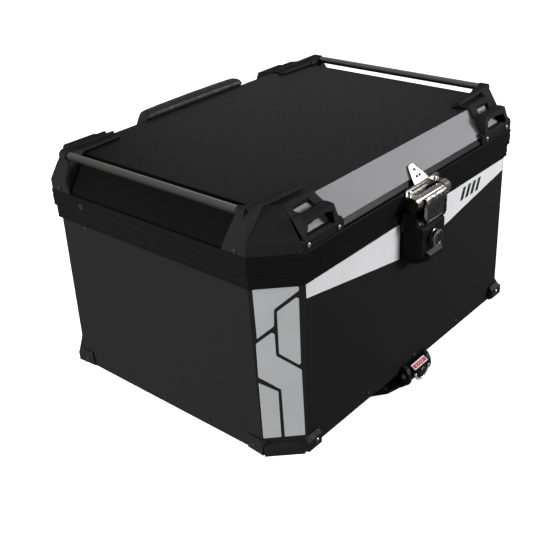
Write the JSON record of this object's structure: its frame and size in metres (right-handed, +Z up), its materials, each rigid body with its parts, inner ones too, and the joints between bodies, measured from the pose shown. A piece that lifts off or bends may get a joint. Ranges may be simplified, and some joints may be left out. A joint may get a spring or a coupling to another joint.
{
  "type": "top case",
  "caption": "Boxy aluminium motorcycle top case with a hinged lid, corner bumpers, side rails, front latch and a quick-release rack plate.",
  "frame": {"origin": "middle of the underside of the rack adapter plate", "axes": "+Z up, -Y towards the latch, +X to the right seen from the back"},
  "size_m": [0.5422, 0.449, 0.3399],
  "materials": {
    "black_coat": "matt black powder coat",
    "raw_aluminium": "plain sheet",
    "silver_film": "satin silver film",
    "seal_rubber": "matt",
    "dark_plastic": "fine grain",
    "moulded_plastic": "fine grain",
    "zinc_steel": "zinc plated",
    "bright_chrome": "polished",
    "dark_chrome": "smoked polish",
    "brushed_rail": "brushed along the rail",
    "screw_steel": "plain",
    "pad_cover": "synthetic leather"
  },
  "bodies": {
    "case": {"wall_shell": "black_coat", "floor_pan": "raw_aluminium", "base_rim": "black_coat", "gasket": "seal_rubber", "corner_guard_fl": "dark_plastic", "corner_guard_fr": "dark_plastic", "corner_guard_bl": "dark_plastic", "corner_guard_br": "dark_plastic", "base_plate": "moulded_plastic", "rear_hook_l": "zinc_steel", "rear_hook_r": "zinc_steel", "release_bracket": "moulded_plastic", "release_axle": "bright_chrome", "latch_housing": "moulded_plastic", "latch_pin": "zinc_steel", "lock_ring": "bright_chrome", "hinge_base_leaf_l": "zinc_steel", "hinge_base_leaf_r": "zinc_steel", "hinge_pin_l": "zinc_steel", "hinge_pin_r": "zinc_steel"},
    "lid": {"lid_shell": "black_coat", "lid_rim": "black_coat", "front_strip": "silver_film", "bumper_fl": "dark_plastic", "bumper_fr": "dark_plastic", "bumper_bl": "dark_plastic", "bumper_br": "dark_plastic", "bumper_fl_screw_1": "screw_steel", "bumper_fl_screw_2": "screw_steel", "bumper_fl_screw_3": "screw_steel", "bumper_fr_screw_1": "screw_steel", "bumper_fr_screw_2": "screw_steel", "bumper_fr_screw_3": "screw_steel", "bumper_bl_screw_1": "screw_steel", "bumper_bl_screw_2": "screw_steel", "bumper_bl_screw_3": "screw_steel", "bumper_br_screw_1": "screw_steel", "bumper_br_screw_2": "screw_steel", "bumper_br_screw_3": "screw_steel", "rail_l": "brushed_rail", "rail_r": "brushed_rail", "catch_plate": "bright_chrome", "hinge_lid_leaf_l": "zinc_steel", "hinge_lid_leaf_r": "zinc_steel", "backrest_pad": "pad_cover"},
    "catch_roller": {"catch_roller": "bright_chrome"},
    "latch_lever": {"latch_lever": "dark_chrome"},
    "latch_lock": {"latch_lock": "bright_chrome"},
    "release_lever": {"release_lever": "moulded_plastic"},
    "release_lock": {"release_lock": "bright_chrome"},
    "release_pawl": {"release_pawl": "zinc_steel"},
    "stay_lower_l": {"stay_lower_l": "zinc_steel"},
    "stay_lower_r": {"stay_lower_r": "zinc_steel"},
    "stay_upper_l": {"stay_upper_l": "zinc_steel"},
    "stay_upper_r": {"stay_upper_r": "zinc_steel"}
  },
  "joints": [
    {"name": "lid_hinge", "type": "hinge", "parent": "case", "child": "lid", "pos_m": [0, 0.212, 0.2694], "axis": [-1, 0, 0], "range_deg": [0, 92]},
    {"name": "latch_lever_hinge", "type": "hinge", "parent": "case", "child": "latch_lever", "pos_m": [0, -0.2215, 0.2515], "axis": [1, 0, 0], "range_deg": [0, 75]},
    {"name": "latch_lock_turn", "type": "hinge", "parent": "case", "child": "latch_lock", "pos_m": [0, -0.226, 0.2255], "axis": [0, -1, 0], "range_deg": [0, 90]},
    {"name": "catch_roller_spin", "type": "hinge", "parent": "lid", "child": "catch_roller", "pos_m": [0, -0.2162, 0.2785], "axis": [1, 0, 0], "continuous": true},
    {"name": "release_lever_hinge", "type": "hinge", "parent": "case", "child": "release_lever", "pos_m": [0, -0.205, 0.0245], "axis": [-1, 0, 0], "range_deg": [0, 15], "stiffness_Nm_per_rad": 0.4},
    {"name": "release_lock_turn", "type": "hinge", "parent": "release_lever", "child": "release_lock", "pos_m": [0.001, -0.215, 0.021], "axis": [0, -1, 0], "range_deg": [0, 90]},
    {"name": "release_pawl_slide", "type": "slide", "parent": "case", "child": "release_pawl", "axis": [0, -1, 0], "range_m": [0, 0.0052]},
    {"name": "stay_lower_l_hinge", "type": "hinge", "parent": "case", "child": "stay_lower_l", "pos_m": [-0.2545, 0.1127, 0.2533], "axis": [-1, 0, 0], "range_deg": [0, 92]},
    {"name": "stay_upper_l_hinge", "type": "hinge", "parent": "lid", "child": "stay_upper_l", "pos_m": [-0.2523, 0.1073, 0.2805], "axis": [-1, 0, 0], "range_deg": [-94, 0]},
    {"name": "stay_lower_r_hinge", "type": "hinge", "parent": "case", "child": "stay_lower_r", "pos_m": [0.2545, 0.1127, 0.2533], "axis": [-1, 0, 0], "range_deg": [0, 92]},
    {"name": "stay_upper_r_hinge", "type": "hinge", "parent": "lid", "child": "stay_upper_r", "pos_m": [0.2523, 0.1073, 0.2805], "axis": [-1, 0, 0], "range_deg": [-94, 0]}
  ],
  "couplings": [
    {"joint": "release_pawl_slide", "follows": "release_lever_hinge", "m_per_rad": 0.018},
    {"joint": "stay_lower_l_hinge", "follows": "lid_hinge", "ratio": 0.997},
    {"joint": "stay_upper_l_hinge", "follows": "lid_hinge", "ratio": -1.0099},
    {"joint": "stay_lower_r_hinge", "follows": "lid_hinge", "ratio": 0.997},
    {"joint": "stay_upper_r_hinge", "follows": "lid_hinge", "ratio": -1.0099}
  ]
}
